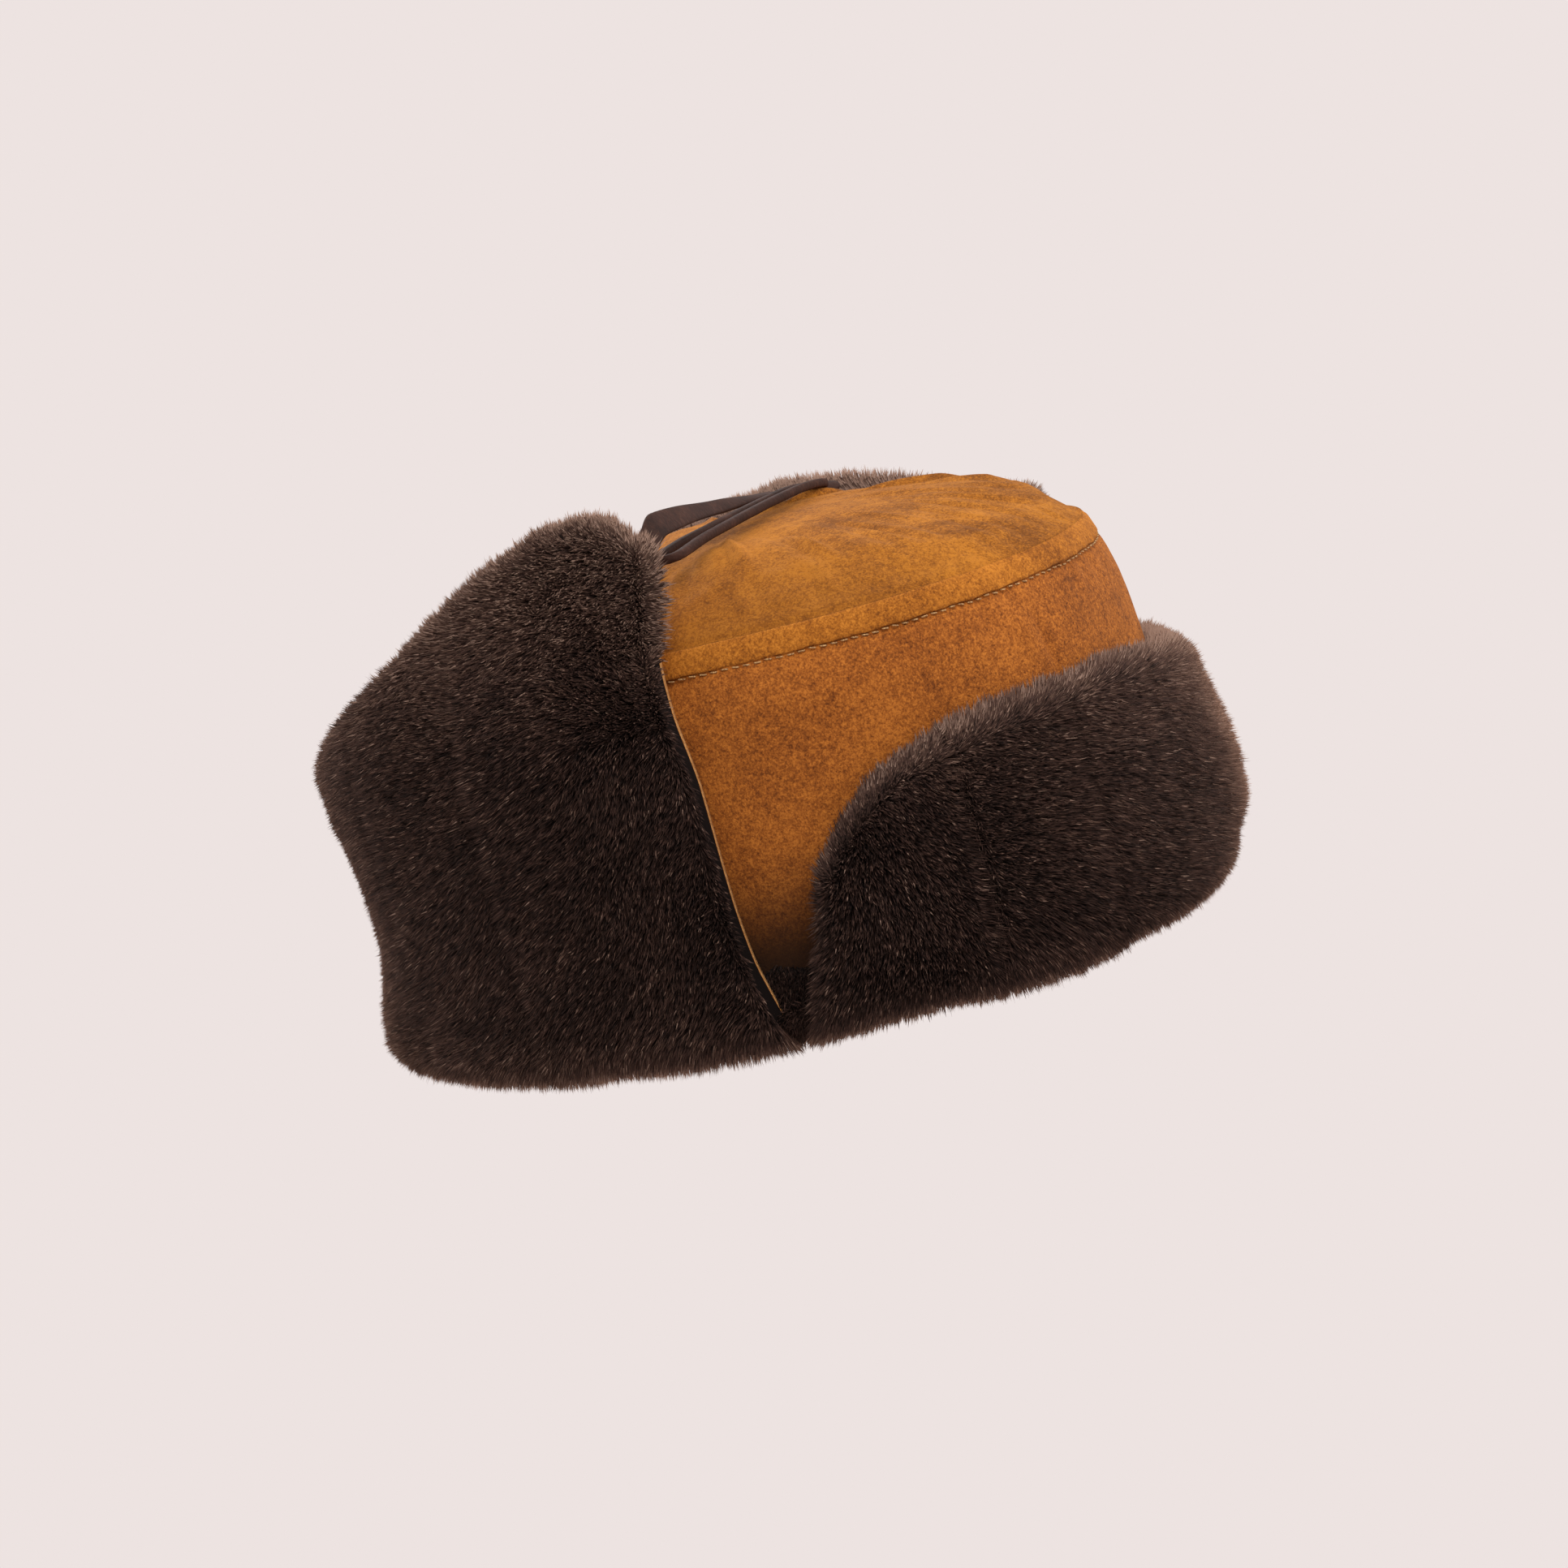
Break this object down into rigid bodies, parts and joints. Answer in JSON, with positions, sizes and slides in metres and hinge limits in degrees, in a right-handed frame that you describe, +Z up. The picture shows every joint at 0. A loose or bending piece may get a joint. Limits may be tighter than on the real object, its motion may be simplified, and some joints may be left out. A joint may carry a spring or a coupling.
{
  "type": "trapper hat",
  "caption": "Suede trapper hat with dense pile lining; front flap and curtain of ear and neck flaps fold up pile side out, ear flap ties cross the crown.",
  "frame": {"origin": "centre of the head opening, on the flat rim the hat stands on", "axes": "+X to the wearer's left, +Y to the back of the head, +Z up through the crown; the front flap is on the -Y side"},
  "size_m": [0.2299, 0.2661, 0.1484],
  "materials": {
    "suede": "brushed nap, matt",
    "pile": "dense sheared pile",
    "tie_leather": "smooth, soft sheen",
    "thread": "twisted thread"
  },
  "bodies": {
    "crown": {"side_band": "suede", "side_band_lining": "pile", "crown_panel": "suede", "crown_panel_lining": "pile", "seam_allowance": "suede", "topstitch": "thread"},
    "right_ear_front": {"right_ear_front_skin": "suede", "right_ear_front_pile": "pile"},
    "right_ear_middle": {"right_ear_middle_skin": "suede", "right_ear_middle_pile": "pile"},
    "right_ear_back": {"right_ear_back_skin": "suede", "right_ear_back_pile": "pile"},
    "neck_right": {"neck_right_skin": "suede", "neck_right_pile": "pile"},
    "neck_centre": {"neck_centre_skin": "suede", "neck_centre_pile": "pile"},
    "neck_left": {"neck_left_skin": "suede", "neck_left_pile": "pile"},
    "left_ear_back": {"left_ear_back_skin": "suede", "left_ear_back_pile": "pile"},
    "left_ear_middle": {"left_ear_middle_skin": "suede", "left_ear_middle_pile": "pile"},
    "left_ear_front": {"left_ear_front_skin": "suede", "left_ear_front_pile": "pile"},
    "front_left_end": {"front_left_end_skin": "suede", "front_left_end_pile": "pile"},
    "front_left_outer": {"front_left_outer_skin": "suede", "front_left_outer_pile": "pile"},
    "front_left_inner": {"front_left_inner_skin": "suede", "front_left_inner_pile": "pile"},
    "front_centre": {"front_centre_skin": "suede", "front_centre_pile": "pile"},
    "front_right_inner": {"front_right_inner_skin": "suede", "front_right_inner_pile": "pile"},
    "front_right_outer": {"front_right_outer_skin": "suede", "front_right_outer_pile": "pile"},
    "front_right_end": {"front_right_end_skin": "suede", "front_right_end_pile": "pile"},
    "right_tie": {"right_tie": "tie_leather"},
    "left_tie": {"left_tie": "tie_leather", "left_tie_knot": "tie_leather", "left_tie_loop": "tie_leather"}
  },
  "joints": [
    {"name": "right_ear_front_fold", "type": "hinge", "parent": "crown", "child": "right_ear_front", "pos_m": [-0.09684, 0.01103, 0.0005], "axis": [-0.0627, -0.998, 0], "range_deg": [0, 175]},
    {"name": "right_ear_middle_fold", "type": "hinge", "parent": "crown", "child": "right_ear_middle", "pos_m": [-0.08575, 0.06298, 0.0005], "axis": [-0.4272, -0.9041, 0], "range_deg": [0, 175]},
    {"name": "right_ear_back_fold", "type": "hinge", "parent": "crown", "child": "right_ear_back", "pos_m": [-0.06427, 0.09371, 0.0005], "axis": [-0.731, -0.6824, 0], "range_deg": [0, 175]},
    {"name": "neck_right_fold", "type": "hinge", "parent": "crown", "child": "neck_right", "pos_m": [-0.03652, 0.11126, 0.0005], "axis": [-0.9323, -0.3616, 0], "range_deg": [0, 175]},
    {"name": "curtain_fold", "type": "hinge", "parent": "crown", "child": "neck_centre", "pos_m": [0.00009, 0.11718, 0.0005], "axis": [-1, 0.0008, 0], "range_deg": [0, 175]},
    {"name": "neck_left_fold", "type": "hinge", "parent": "crown", "child": "neck_left", "pos_m": [0.03669, 0.1112, 0.0005], "axis": [-0.9316, 0.3636, 0], "range_deg": [0, 175]},
    {"name": "left_ear_back_fold", "type": "hinge", "parent": "crown", "child": "left_ear_back", "pos_m": [0.06441, 0.09358, 0.0005], "axis": [-0.7296, 0.6839, 0], "range_deg": [0, 175]},
    {"name": "left_ear_middle_fold", "type": "hinge", "parent": "crown", "child": "left_ear_middle", "pos_m": [0.08583, 0.0628, 0.0005], "axis": [-0.4256, 0.9049, 0], "range_deg": [0, 175]},
    {"name": "left_ear_front_fold", "type": "hinge", "parent": "crown", "child": "left_ear_front", "pos_m": [0.09687, 0.01093, 0.0005], "axis": [-0.0621, 0.9981, 0], "range_deg": [0, 175]},
    {"name": "front_left_end_fold", "type": "hinge", "parent": "crown", "child": "front_left_end", "pos_m": [0.08554, -0.06341, 0.0005], "axis": [0.4311, 0.9023, 0], "range_deg": [0, 175]},
    {"name": "front_left_outer_fold", "type": "hinge", "parent": "crown", "child": "front_left_outer", "pos_m": [0.06396, -0.094, 0.0005], "axis": [0.7342, 0.6789, 0], "range_deg": [0, 175]},
    {"name": "front_left_inner_fold", "type": "hinge", "parent": "crown", "child": "front_left_inner", "pos_m": [0.03614, -0.11141, 0.0005], "axis": [0.934, 0.3573, 0], "range_deg": [0, 175]},
    {"name": "front_flap_fold", "type": "hinge", "parent": "crown", "child": "front_centre", "pos_m": [-0.00044, -0.11719, 0.0005], "axis": [1, -0.0039, 0], "range_deg": [0, 175]},
    {"name": "front_right_inner_fold", "type": "hinge", "parent": "crown", "child": "front_right_inner", "pos_m": [-0.03692, -0.11111, 0.0005], "axis": [0.9305, -0.3662, 0], "range_deg": [0, 175]},
    {"name": "front_right_outer_fold", "type": "hinge", "parent": "crown", "child": "front_right_outer", "pos_m": [-0.06456, -0.09344, 0.0005], "axis": [0.728, -0.6856, 0], "range_deg": [0, 175]},
    {"name": "front_right_end_fold", "type": "hinge", "parent": "crown", "child": "front_right_end", "pos_m": [-0.08593, -0.06256, 0.0005], "axis": [0.4235, -0.9059, 0], "range_deg": [0, 175]},
    {"name": "right_tie_swing", "type": "hinge", "parent": "right_ear_front", "child": "right_tie", "pos_m": [-0.0874, -0.0148, 0.144], "axis": [0, -1, 0], "range_deg": [0, 92]},
    {"name": "left_tie_swing", "type": "hinge", "parent": "left_ear_front", "child": "left_tie", "pos_m": [0.0829, -0.0129, 0.1228], "axis": [0, 1, 0], "range_deg": [0, 92]}
  ],
  "couplings": [
    {"joint": "right_ear_front_fold", "follows": "curtain_fold", "ratio": 1},
    {"joint": "right_ear_middle_fold", "follows": "curtain_fold", "ratio": 1},
    {"joint": "right_ear_back_fold", "follows": "curtain_fold", "ratio": 1},
    {"joint": "neck_right_fold", "follows": "curtain_fold", "ratio": 1},
    {"joint": "neck_left_fold", "follows": "curtain_fold", "ratio": 1},
    {"joint": "left_ear_back_fold", "follows": "curtain_fold", "ratio": 1},
    {"joint": "left_ear_middle_fold", "follows": "curtain_fold", "ratio": 1},
    {"joint": "left_ear_front_fold", "follows": "curtain_fold", "ratio": 1},
    {"joint": "front_left_end_fold", "follows": "front_flap_fold", "ratio": 1},
    {"joint": "front_left_outer_fold", "follows": "front_flap_fold", "ratio": 1},
    {"joint": "front_left_inner_fold", "follows": "front_flap_fold", "ratio": 1},
    {"joint": "front_right_inner_fold", "follows": "front_flap_fold", "ratio": 1},
    {"joint": "front_right_outer_fold", "follows": "front_flap_fold", "ratio": 1},
    {"joint": "front_right_end_fold", "follows": "front_flap_fold", "ratio": 1},
    {"joint": "right_tie_swing", "follows": "curtain_fold", "ratio": 0.52},
    {"joint": "left_tie_swing", "follows": "curtain_fold", "ratio": 0.52}
  ]
}
